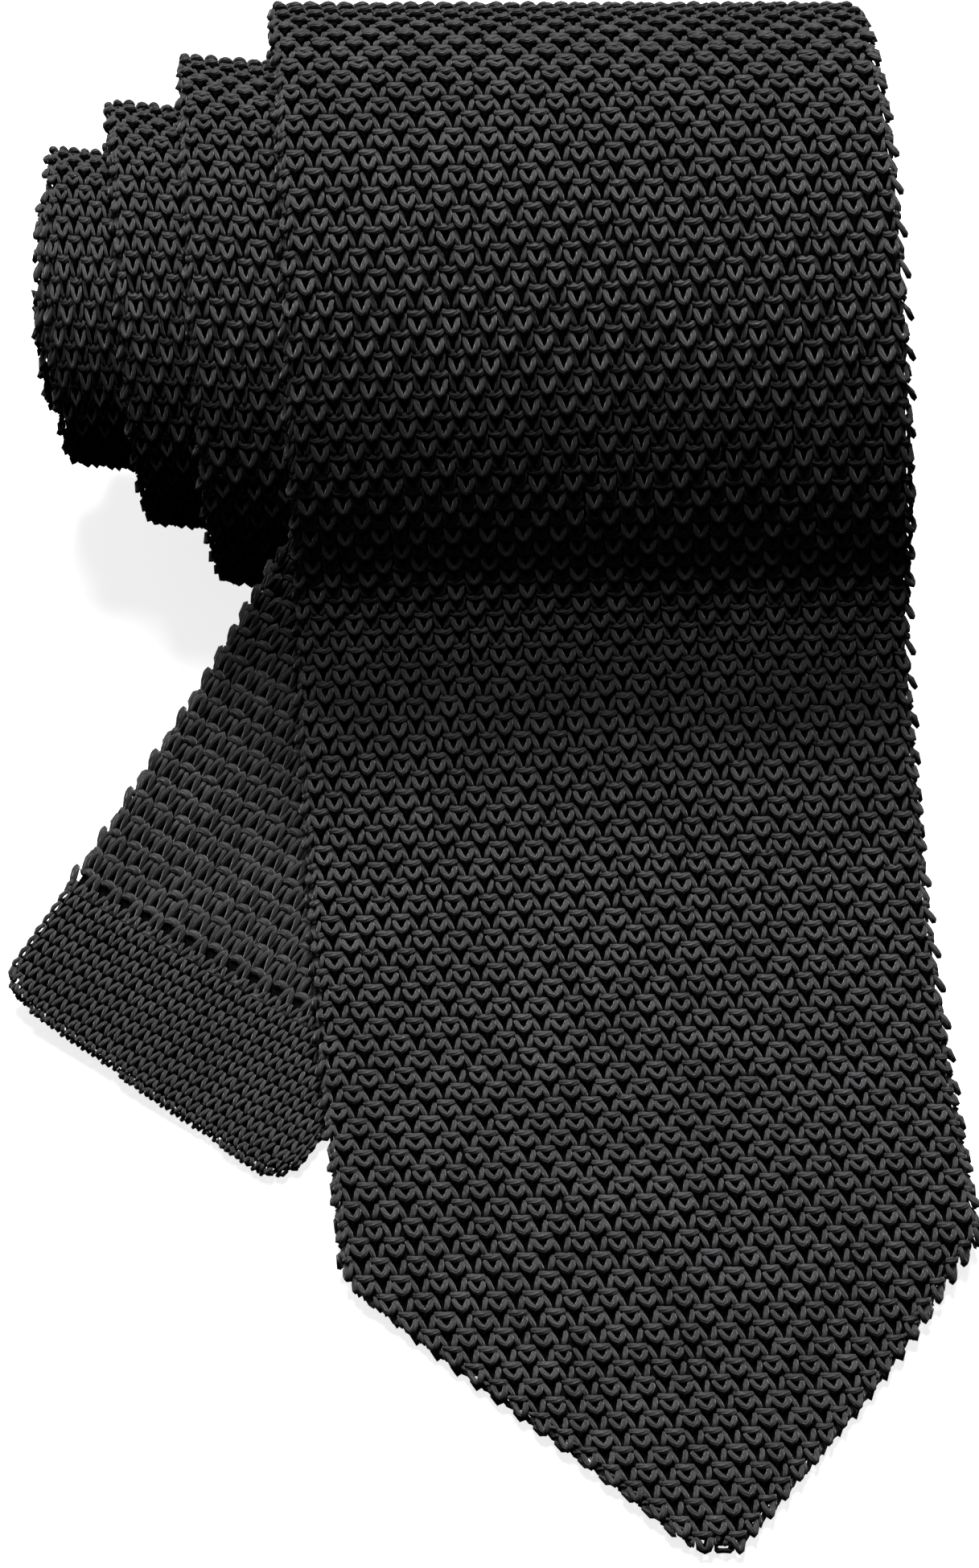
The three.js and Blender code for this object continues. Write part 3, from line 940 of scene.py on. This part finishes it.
# ------------------------------------------------------------------ the tie
WIDE = Gauge(wale=2.0, period=4.38, bar=0.50, closed=0.355, loose=0.32)
NARROW = Gauge(wale=1.40, period=5.45, bar=0.52, closed=0.36, loose=0.32, upside_down=True)
HEM = Gauge(wale=1.40, period=1.6, bar=0.0, closed=0.0, loose=0.27)
WIDE_MIDDLE = LAYER_GAP / 2 + FABRIC / 2
NARROW_MIDDLE = -LAYER_GAP / 2 - FABRIC / 2


@dataclass
class Knitting:
    """What every stretch of the tie is made with."""

    line: ContactLine
    finishes: Finishes
    rng: np.random.Generator
    stitches: dict[tuple[float, Detail], Solid] = field(default_factory=dict)

    def stitch(self, gauge: Gauge, detail: Detail) -> Solid:
        """Returns the stitch of a gauge, modelled once."""
        key = (gauge.period, detail)
        if key not in self.stitches:
            self.stitches[key] = (plain_stitch(gauge) if gauge is HEM
                                  else knit_stitch(gauge, detail))
        return self.stitches[key]

    @staticmethod
    def slot(strip: Strip) -> str:
        """Returns the finish slot of a strip: the plain hem has its own."""
        return "hem_knit" if strip.gauge is HEM else "knit_fabric"

    def yarn(self, name: str, strip: Strip, cells: dict[str, np.ndarray], keep: np.ndarray,
             detail: Detail) -> list[bpy.types.Object]:
        """Makes one piece of stitches and dresses it.

        Args:
            name: the piece's name.
            strip: the strip's shape.
            cells: the layout of the stitches.
            keep: which of them to make.
            detail: how finely they are modelled.

        Returns:
            The piece in a list, which is empty where no stitch is kept.
        """
        made = knit_yarn(name, strip, self.stitch(strip.gauge, detail), cells, keep, self.rng)
        if made is None:
            return []
        made.data.materials.append(self.finishes.yarn)
        return [made]

    def shell(self, name: str, strip: Strip, first: float, last: float) -> bpy.types.Object:
        """Makes the inner shell of a stretch and dresses it in the painted shade."""
        made = fabric_shell(name, strip, first, last)
        made.data.materials.append(self.finishes.painted_shade)
        LOG.info("%s: %d faces", name, len(made.data.polygons))
        return made


@dataclass
class Roll:
    """Five doubled turns of the tie, stepping out to the left."""

    knitting: Knitting
    on_back: Sequence[bpy.types.Object] = ()    # what is sewn to the outer turn's back
    at_heart: Sequence[bpy.types.Object] = ()   # the fold that the innermost turn ends in
    bright_to: float = 250.0        # degrees to which the outer turn is in full detail
    inner_bright_to: float = 215.0  # the same for the edges of the turns inside it
    bright_wales: float = 7.5       # columns in full detail at an inner turn's left edge
    left_wales: float = 11.0        # columns modelled there at all, and so on:
    right_wales: float = 2.0
    under_left_wales: float = 3.0
    under_right_wales: float = 9.0

    def build(self) -> None:
        """Builds the turns of both halves."""
        line = self.knitting.line
        wide = WideStrip(line, WIDE_MIDDLE, 36, WIDE, spiral=0.045, tilt=-0.03)
        narrow = NarrowStrip(line, NARROW_MIDDLE, 30, NARROW, tilt=-0.02)
        ends = [line.run_at(line.front_angle + 360 * k) for k in range(line.turns + 1)]
        for turn in range(1, line.turns + 1):
            near = ROOT_START if turn == 1 else ends[turn - 1]
            self._wide_turn(wide, turn, ends[turn], near)
            self._narrow_turn(narrow, turn, ends[turn], near)

    def _wide_turn(self, strip: WideStrip, turn: int, first: float, last: float) -> None:
        """Builds one turn of the wide half."""
        knitting = self.knitting
        name = f"blade_turn_{turn}"
        shell = knitting.shell(f"{name}_shell", strip, first, last)
        cells = strip.cells(first, last)
        angle = (strip.line.angle(cells["along"]) - strip.line.front_angle) % 360
        column, outer = cells["column"], cells["side"] > 0
        side = strip.wales / 2
        yarns = []
        if turn == 1:
            bright = outer & (angle < self.bright_to)
            third = self.bright_to / 3
            for part in range(3):
                within = (angle >= part * third) & (angle < (part + 1) * third)
                yarns += knitting.yarn(f"{name}_yarn_{part + 1}", strip, cells,
                                       bright & within, Detail.FULL)
            under = ((column > side - self.under_right_wales - 1)
                     | (column < -side + self.under_left_wales + 1))
            rest = (outer & ~bright) | (~outer & under)
        else:
            edge = outer & (column < -side + self.bright_wales)
            bright = edge & (angle < self.inner_bright_to)
            yarns += knitting.yarn(f"{name}_yarn_1", strip, cells, bright, Detail.FULL)
            wide_edge = outer & ((column < -side + self.left_wales)
                                 | (column > side - self.right_wales))
            under = ((column > side - self.under_right_wales)
                     | (column < -side + self.under_left_wales))
            rest = (wide_edge & ~bright) | (~outer & under)
        yarns += knitting.yarn(f"{name}_yarn_rest", strip, cells, rest, Detail.PLAIN)
        for piece in [shell] + yarns:
            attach(piece, "roll")
        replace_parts(shell, name)
        width = float(np.mean(strip.half(np.linspace(first, last, 50)))) * 2

    def _narrow_turn(self, strip: NarrowStrip, turn: int, first: float, last: float) -> None:
        """Builds one turn of the narrow half."""
        knitting = self.knitting
        name = f"tail_turn_{turn}"
        shell = knitting.shell(f"{name}_shell", strip, first, last)
        cells = strip.cells(first, last)
        near = strip.wales / 2 - 2.5
        keep = np.abs(cells["column"]) > near
        yarns = knitting.yarn(f"{name}_yarn", strip, cells, keep, Detail.PLAIN)
        for piece in [shell] + yarns:
            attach(piece, "roll")
        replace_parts(shell, name)


@dataclass
class MiddleFold:
    """The fold at the heart of the roll."""

    knitting: Knitting
    kept_wales: float = 4.0         # columns modelled in at each side

    def build(self) -> list[bpy.types.Object]:
        """Builds the half turn in which the wide half becomes the narrow one."""
        strip = FoldStrip(self.knitting.line, WIDE_MIDDLE, 30, NARROW)
        name, last = "middle_fold", strip.length()
        shell = self.knitting.shell(f"{name}_shell", strip, 0, last)
        cells = strip.cells(0, last)
        keep = (cells["side"] > 0) & (np.abs(cells["column"]) > strip.wales / 2 - self.kept_wales)
        yarns = self.knitting.yarn(f"{name}_yarn", strip, cells, keep, Detail.PLAIN)
        for piece in [shell] + yarns:
            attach(piece, "roll")
        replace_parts(shell, name)
        return [shell] + yarns


@dataclass
class Trims:
    """The keeper loop with its tacks, the blank label and the stay tape."""

    knitting: Knitting
    under_gap: float = 0.3          # between the blade's back and a trim
    keeper_angles: tuple[float, float] = (142.0, 157.0)
    keeper_width: float = 46.0
    keeper_thickness: float = 0.6
    tack_width: float = 1.6
    tack_pitch: float = 0.55        # between the threads of a bar tack
    label_angles: tuple[float, float] = (82.0, 112.0)
    label_width: float = 34.0
    label_thickness: float = 0.5
    tape_width: float = 20.0
    tape_thickness: float = 0.5
    tape_from: float = 5.0          # degrees of the last turn left free at its two ends
    tape_to: float = 10.0

    def build(self) -> list[bpy.types.Object]:
        """Builds the trims and returns those sewn down under the keeper loop."""
        line = self.knitting.line
        front, last_turn = line.front_angle, line.front_angle + 360 * (line.turns - 1)
        sewn = [self._tape("keeper_loop", self.keeper_angles, self.keeper_width,
                           self.keeper_thickness)]
        beside = self.keeper_width / 2 + self.under_gap + self.tack_width / 2
        for side, sign in (("left", -1), ("right", 1)):
            sewn.append(self._tack(f"keeper_tack_{side}", sign * beside))
        label = self._tape("blank_label", self.label_angles, self.label_width,
                           self.label_thickness)
        self._declare(self.label_angles)
        inside = (last_turn + self.tape_from, front + 360 * line.turns - self.tape_to)
        tape = self._tape("neck_tape", inside, self.tape_width, self.tape_thickness, WIDE_MIDDLE)
        self._declare(inside)
        return sewn

    def _strip(self, width: float, thickness: float, middle: Optional[float] = None,
               shift: float = 0.0) -> TapeStrip:
        """Returns the shape of a tape, against the blade's back unless told."""
        guide = WideStrip(self.knitting.line, WIDE_MIDDLE, 36, WIDE)
        if middle is None:
            middle = LAYER_GAP / 2 - self.under_gap - thickness / 2
        return TapeStrip(self.knitting.line, middle, 1, WIDE, radius=thickness / 2,
                         guide=guide, width=width, shift=shift)

    def _declare(self, angles: tuple[float, float]) -> None:
        """Works out the runs at a tape's two ends, and keeps nothing of them."""
        first, last = (self.knitting.line.run_at(angle) for angle in angles[::-1])

    def _tape(self, name: str, angles: tuple[float, float], width: float, thickness: float,
              middle: Optional[float] = None) -> bpy.types.Object:
        """Builds one woven tape between two angles of the roll."""
        strip = self._strip(width, thickness, middle)
        first, last = (self.knitting.line.run_at(angle) for angle in angles[::-1])
        made = fabric_shell(f"{name}_ribbon", strip, first, last, 1.5, 12, 0.0, closed=True)
        made.data.materials.append(self.knitting.finishes.ribbon)
        return self._finish(made, name, "ribbon")

    def _tack(self, name: str, shift: float) -> bpy.types.Object:
        """Builds one bar tack: close threads over the end of the keeper loop."""
        strip = self._strip(self.tack_width, self.keeper_thickness, shift=shift)
        first, last = (self.knitting.line.run_at(angle) for angle in self.keeper_angles[::-1])
        strip.gauge = Gauge(self.tack_width, self.tack_pitch, 0.0, 0.0, 0.0)
        along = np.arange(first + self.tack_pitch, last - self.tack_pitch, self.tack_pitch)
        cells = {"column": np.zeros(2 * len(along)), "along": np.tile(along, 2),
                 "side": np.repeat([1.0, -1.0], len(along)), "away": np.zeros(2 * len(along))}
        thread = yarn_length([[a, 0.5 * self.tack_pitch, h, 0.3 * share] for a, h, share in (
            (-0.75, -0.3, 0), (-0.70, -0.1, 1), (0, 0.0, 1), (0.70, -0.1, 1), (0.75, -0.3, 0))], 5)
        thread.corners = thread.corners / [self.tack_width, self.tack_pitch, 1]
        made = knit_yarn(f"{name}_thread", strip, thread, cells,
                         np.full(2 * len(along), True), self.knitting.rng)
        made.data.materials.append(self.knitting.finishes.thread)
        return self._finish(made, name, "thread")

    @staticmethod
    def _finish(made: bpy.types.Object, name: str, slot: str) -> bpy.types.Object:
        """Puts a trim on the roll in place of its node."""
        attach(made, "roll")
        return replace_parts(made, name)


@dataclass
class Blade:
    """The pointed wide end, over the roll and down to the table."""

    knitting: Knitting
    root_end: float = 16.0          # runs between which its stretches lie, mm
    bend_start: float = 70.0
    bend_end: float = 91.0
    shoulder_left: float = 98.0
    shoulder_right: float = 91.5
    tip_width: float = 5.0

    def build(self) -> None:
        """Builds the blade in four stretches that follow its two bends."""
        line = self.knitting.line
        strip = WideStrip(line, WIDE_MIDDLE, 36, WIDE, spiral=0.045, tilt=-0.03)
        ended = WideStrip(line, WIDE_MIDDLE, 36, WIDE, spiral=0.045, tilt=-0.03)
        ended.outline = self._core(ended)
        last = line.length - SIDE_RADIUS + QUARTER * SIDE_RADIUS
        self._stretch("blade_root", strip, ROOT_START, self.root_end, ("roll", "blade"),
                      ["blade_turn_1"])
        self._stretch("blade_drape", strip, self.root_end, self.bend_start, ("blade",),
                      ["blade_drape"])
        self._stretch("blade_bend", strip, self.bend_start, self.bend_end,
                      ("blade", "point"), ["blade_drape", "blade_point"])
        self._stretch("blade_point", ended, self.bend_end, last, ("point",),
                      ["blade_point"])

    def _core(self, strip: WideStrip) -> np.ndarray:
        """Returns the corners of the flat core of the pointed end."""
        length = strip.line.length
        side = float(strip.half(np.array([0.0]))[0])
        runs = np.linspace(self.shoulder_right, length - SIDE_RADIUS, 12)
        tip = float(strip.centre(np.array([length]))[0])

        def edge(start: float, sign: float) -> np.ndarray:
            """Returns one slanted edge, moved in by the side fold."""
            share = np.clip((runs - start) / (length - start), 0, 1)
            outer = (1 - share) * sign * side + share * (
                tip + sign * self.tip_width / 2 - strip.centre(runs))
            slant = np.where(runs > start, (side - self.tip_width / 2) / (length - start), 0)
            inset = SIDE_RADIUS * np.sqrt(1 + slant ** 2)
            return np.stack([outer - sign * inset, runs], axis=1)

        back = self.bend_start - 20
        inner = side - SIDE_RADIUS
        left, right = edge(self.shoulder_left, -1), edge(self.shoulder_right, 1)
        return np.concatenate([[[-inner, back]], left, right[::-1], [[inner, back]]])

    def _stretch(self, name: str, strip: WideStrip, first: float, last: float,
                 bodies: tuple[str, ...], nodes: Sequence[str]) -> None:
        """Builds one stretch of the blade and ties it to its body, where it has only one."""
        knitting = self.knitting
        shell = knitting.shell(f"{name}_shell", strip, first, last)
        cells = strip.cells(first, last)
        outer = cells["side"] > 0
        yarns = []
        if last - first > 40:
            half = (first + last) / 2
            yarns += knitting.yarn(f"{name}_yarn_1", strip, cells,
                                   outer & (cells["along"] < half), Detail.FULL)
            yarns += knitting.yarn(f"{name}_yarn_2", strip, cells,
                                   outer & (cells["along"] >= half), Detail.FULL)
        else:
            yarns += knitting.yarn(f"{name}_yarn", strip, cells, outer, Detail.FULL)
        yarns += knitting.yarn(f"{name}_yarn_under", strip, cells, ~outer, Detail.PLAIN)
        hold(knitting.line, [shell] + yarns, bodies, first, last)
        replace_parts(shell, *nodes)
        rows = np.linspace(first, last, 40)
        left, right = strip.limits(rows)


def hold(line: ContactLine, pieces: Sequence[bpy.types.Object], bodies: tuple[str, ...],
         first: float, last: float) -> None:
    """Ties pieces to one body; given two, it only bakes their places into their meshes.

    Args:
        line: the contact line; not used.
        pieces: the pieces.
        bodies: one body, or two that a joint joins.
        first: run at which the bend would start; not used.
        last: run at which it would end; not used.
    """
    if len(bodies) == 1:
        for piece in pieces:
            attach(piece, bodies[0])
        return
    for piece in pieces:
        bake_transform(piece)


@dataclass
class Tail:
    """The narrow end, sliding out to the left under the blade."""

    knitting: Knitting
    start: float = -26.0
    root_end: float = 26.0
    corner_left: float = 62.8       # along the tail's left edge, mm
    corner_right: float = 67.3      # along its right edge
    hem: float = 15.0
    corner_cut: float = 2.4         # the corners are rounded by about this much
    bend: tuple[float, float] = (-3.0, 22.0)    # runs between which it would bend to lift

    def build(self) -> None:
        """Builds the tail in three stretches."""
        line = self.knitting.line
        strip = TailStrip(line, NARROW_MIDDLE, 30, NARROW)
        ended = TailStrip(line, NARROW_MIDDLE, 30, HEM)
        ended.outline = self._core(ended)
        end = self.corner_right - SIDE_RADIUS + QUARTER * SIDE_RADIUS + 0.4
        self._stretch("tail_root", strip, self.start, self.root_end, ("roll", "tail"),
                      ["tail_turn_1"])
        self._stretch("tail_drape", strip, self.root_end, self.corner_left - self.hem, ("tail",),
                      ["tail_drape"])
        self._stretch("tail_hem", ended, self.corner_left - self.hem, end, ("tail",),
                      ["tail_hem"])

    def _core(self, strip: TailStrip) -> np.ndarray:
        """Returns the corners of the flat core of the square end."""
        inner = strip.width / 2 - SIDE_RADIUS
        cut = self.corner_cut
        left, right = self.corner_left - SIDE_RADIUS, self.corner_right - SIDE_RADIUS
        slope = (right - left) / (2 * inner)
        return np.array([[-inner, 0.0], [-inner, left - cut], [-inner + cut / 3, left - cut / 3],
                         [-inner + cut, left + cut * slope], [inner - cut, right - cut * slope],
                         [inner - cut / 3, right - cut / 3], [inner, right - cut], [inner, 0.0]])

    def _stretch(self, name: str, strip: TailStrip, first: float, last: float,
                 bodies: tuple[str, ...], nodes: Sequence[str]) -> None:
        """Builds one stretch of the tail and ties it to its body, where it has only one."""
        knitting = self.knitting
        shell = knitting.shell(f"{name}_shell", strip, first, last)
        if strip.gauge is HEM:
            cells = strip.cells(first, last, stagger=0.0)
            yarns = knitting.yarn(f"{name}_yarn", strip, cells, cells["along"] > 0, Detail.FULL)
        else:
            cells = strip.cells(first, last)
            outer = cells["side"] > 0
            yarns = knitting.yarn(f"{name}_yarn", strip, cells, outer, Detail.FULL)
            yarns += knitting.yarn(f"{name}_yarn_under", strip, cells, ~outer, Detail.PLAIN)
        if len(bodies) == 1:
            hold(knitting.line, [shell] + yarns, bodies, first, last)
        else:
            hold(knitting.line, [shell] + yarns, bodies, *self.bend)
        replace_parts(shell, *nodes)


# ------------------------------------------------------------------ stage
@dataclass
class Stage:
    """Floor, light and camera."""

    floor_size: float = 9.0
    floor_colour: str = "#c0c0c0"
    floor_glow: float = 0.82
    lens: float = 127.2
    sensor: float = 36.0
    camera_place: tuple[float, float, float] = (0.0011, -0.4030, 0.4960)
    camera_tilt: float = 40.0
    sky_side: tuple[float, float, float] = (0.0, 0.53, 0.85)
    sky_strength: float = 0.30
    lamps: tuple = (("key_light", (0.0, 0.96, 1.52), 0.45, 72.0),
                    ("top_light", (-0.1, 0.19, 1.6), 0.4, 20.0))

    def build(self) -> None:
        """Builds the stage."""
        self._floor()
        self._light()
        self._camera()

    def _floor(self) -> None:
        """Makes the plain pale floor."""
        mesh = bmesh.new()
        bmesh.ops.create_grid(mesh, x_segments=1, y_segments=1, size=self.floor_size / 2)
        bmesh.ops.translate(mesh, verts=mesh.verts, vec=(0, 0, -0.0003))
        floor = as_object("floor", mesh)
        made = bpy.data.materials.new("matt_white_paper")
        made.use_nodes = True
        shader = made.node_tree.nodes["Principled BSDF"]
        shader.inputs["Base Color"].default_value = linear(self.floor_colour)
        shader.inputs["Roughness"].default_value = 1.0
        shader.inputs["Specular IOR Level"].default_value = 0.0
        shader.inputs["Emission Color"].default_value = (1, 1, 1, 1)
        shader.inputs["Emission Strength"].default_value = self.floor_glow
        floor.data.materials.append(made)
        floor.visible_diffuse = False
        floor.visible_glossy = False

    def _light(self) -> None:
        """Sets a large soft light above and behind, and a dim sky."""
        world = bpy.data.worlds.new("studio")
        bpy.context.scene.world = world
        world.use_nodes = True
        tree = world.node_tree
        tree.nodes.clear()
        place = add_node(tree, "ShaderNodeTexCoord")
        split = add_node(tree, "ShaderNodeSeparateXYZ", None,
                         {"Vector": place.outputs["Generated"]})
        toward = add_node(tree, "ShaderNodeVectorMath", {"operation": "DOT_PRODUCT"},
                          {0: place.outputs["Generated"]})
        toward.inputs[1].default_value = self.sky_side
        sky = add_node(tree, "ShaderNodeMapRange", {
            "in:From Min": 0.1, "in:From Max": 1.0, "in:To Min": 0.0,
            "in:To Max": self.sky_strength, "interpolation_type": "SMOOTHSTEP"},
            {"Value": toward.outputs["Value"]})
        above = add_node(tree, "ShaderNodeMapRange", {
            "in:From Min": 0.0, "in:From Max": 0.2}, {"Value": split.outputs["Z"]})
        glow = add_node(tree, "ShaderNodeMath", {"operation": "MULTIPLY"},
                        {0: sky.outputs["Result"], 1: above.outputs["Result"]})
        back = add_node(tree, "ShaderNodeBackground", {"in:Color": (1, 1, 1, 1)},
                        {"Strength": glow.outputs[0]})
        add_node(tree, "ShaderNodeOutputWorld", None, {"Surface": back.outputs["Background"]})
        for name, place_at, size, power in self.lamps:
            lamp = bpy.data.lights.new(name, "AREA")
            lamp.shape = "DISK"
            lamp.size = size
            lamp.energy = power
            made = bpy.data.objects.new(name, lamp)
            made.location = place_at
            aim = -np.array(place_at)
            made.rotation_euler = (math.atan2(math.hypot(aim[0], aim[1]), -aim[2]), 0,
                                   math.atan2(aim[1], aim[0]) - QUARTER)
            bpy.context.scene.collection.objects.link(made)

    def _camera(self) -> None:
        """Sets the camera above the blade, looking down the front of the roll."""
        view = bpy.data.cameras.new("camera")
        view.lens = self.lens
        view.sensor_width = self.sensor
        view.clip_start = 0.01
        made = bpy.data.objects.new("camera", view)
        made.location = self.camera_place
        made.rotation_euler = (math.radians(self.camera_tilt), 0, 0)
        bpy.context.scene.collection.objects.link(made)
        bpy.context.scene.camera = made
        bpy.context.scene.view_settings.view_transform = "Standard"


def main() -> None:
    """Builds the tie and its stage."""
    logging.basicConfig(level=logging.INFO, format="%(message)s")
    # the second finish is the painted shade of the inner shells
    finishes = Finishes(YarnFinish().material(), PaintedShadeFinish().material(),
                        RibbonFinish().material(), RibbonFinish(name="sewing_thread",
                                                                thread=0.2).material())
    knitting = Knitting(ContactLine(), finishes, np.random.default_rng(SEED))
    Stage().build()
    fold = MiddleFold(knitting).build()
    trims = Trims(knitting).build()
    Roll(knitting, on_back=trims, at_heart=fold).build()
    Blade(knitting).build()
    Tail(knitting).build()


if __name__ == "__main__":
    main()
